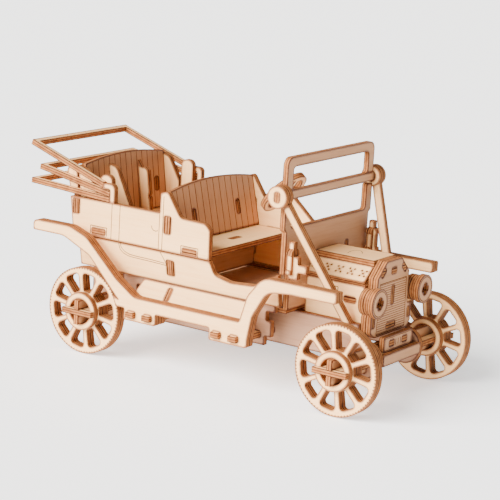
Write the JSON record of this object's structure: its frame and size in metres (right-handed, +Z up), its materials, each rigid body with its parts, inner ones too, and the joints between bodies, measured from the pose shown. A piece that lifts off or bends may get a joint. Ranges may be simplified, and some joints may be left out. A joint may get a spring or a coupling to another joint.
{
  "type": "wooden 3d jigsaw model car",
  "caption": "Slot-together plywood model of an open vintage touring car, with turning spoked wheels, a turning steering wheel and a folding upper windscreen.",
  "frame": {"origin": "below the middle of the model's outline, at the height where the wheels touch the ground", "axes": "+X towards the front of the car, +Y towards its left side, +Z up"},
  "size_m": [0.234, 0.112, 0.1256],
  "materials": {
    "birch_ply": "raw laser-cut birch plywood, pale faces and scorched brown edges"
  },
  "bodies": {
    "car": {"apron_left": "birch_ply", "apron_right": "birch_ply", "axle_flat_front": "birch_ply", "axle_flat_rear": "birch_ply", "axle_locks": "birch_ply", "axle_upright_front": "birch_ply", "axle_upright_rear": "birch_ply", "body_sills": "birch_ply", "bow_brackets": "birch_ply", "bow_hooks": "birch_ply", "canopy_bow_lower": "birch_ply", "canopy_bow_middle": "birch_ply", "canopy_bow_top": "birch_ply", "chassis_floor": "birch_ply", "chassis_rail_left": "birch_ply", "chassis_rail_right": "birch_ply", "dash_lanterns": "birch_ply", "fender_inner_left": "birch_ply", "fender_inner_right": "birch_ply", "fender_outer_left": "birch_ply", "fender_outer_right": "birch_ply", "front_beam": "birch_ply", "front_seat_back": "birch_ply", "front_seat_board": "birch_ply", "front_seat_riser": "birch_ply", "headlamp_left": "birch_ply", "headlamp_right": "birch_ply", "hinge_washers": "birch_ply", "hood_side_left": "birch_ply", "hood_side_right": "birch_ply", "hood_slopes": "birch_ply", "hood_top": "birch_ply", "lower_side_left": "birch_ply", "lower_side_right": "birch_ply", "number_plate": "birch_ply", "radiator_core": "birch_ply", "radiator_front": "birch_ply", "rear_fins": "birch_ply", "rear_panel": "birch_ply", "rear_posts": "birch_ply", "rear_seat_back": "birch_ply", "rear_seat_board": "birch_ply", "rear_seat_riser": "birch_ply", "rear_wings": "birch_ply", "steering_column": "birch_ply", "step_beams": "birch_ply", "step_feet": "birch_ply", "upper_side_left": "birch_ply", "upper_side_right": "birch_ply", "windscreen_board": "birch_ply", "windscreen_strut_left": "birch_ply", "windscreen_strut_right": "birch_ply"},
    "wheel_front_left_turning": {"wheel_front_left": "birch_ply"},
    "wheel_front_right_turning": {"wheel_front_right": "birch_ply"},
    "wheel_rear_left_turning": {"wheel_rear_left": "birch_ply"},
    "wheel_rear_right_turning": {"wheel_rear_right": "birch_ply"},
    "steering_ring": {"steering_wheel": "birch_ply"},
    "upper_windscreen": {"windscreen_frame": "birch_ply", "hinge_caps": "birch_ply"}
  },
  "joints": [
    {"name": "wheel_front_left_spin", "type": "hinge", "parent": "car", "child": "wheel_front_left_turning", "pos_m": [0.09299, 0.0467, 0.024], "axis": [0, 1, 0], "continuous": true},
    {"name": "wheel_front_right_spin", "type": "hinge", "parent": "car", "child": "wheel_front_right_turning", "pos_m": [0.09299, -0.0467, 0.024], "axis": [0, 1, 0], "continuous": true},
    {"name": "wheel_rear_left_spin", "type": "hinge", "parent": "car", "child": "wheel_rear_left_turning", "pos_m": [-0.06941, 0.0467, 0.024], "axis": [0, 1, 0], "continuous": true},
    {"name": "wheel_rear_right_spin", "type": "hinge", "parent": "car", "child": "wheel_rear_right_turning", "pos_m": [-0.06941, -0.0467, 0.024], "axis": [0, 1, 0], "continuous": true},
    {"name": "steering_turn", "type": "hinge", "parent": "car", "child": "steering_ring", "pos_m": [0.03159, -0.01, 0.0996], "axis": [-0.7547, 0, 0.6561], "continuous": true},
    {"name": "windscreen_fold", "type": "hinge", "parent": "car", "child": "upper_windscreen", "pos_m": [0.05179, 0, 0.106], "axis": [0, 1, 0], "range_deg": [0, 110]}
  ]
}
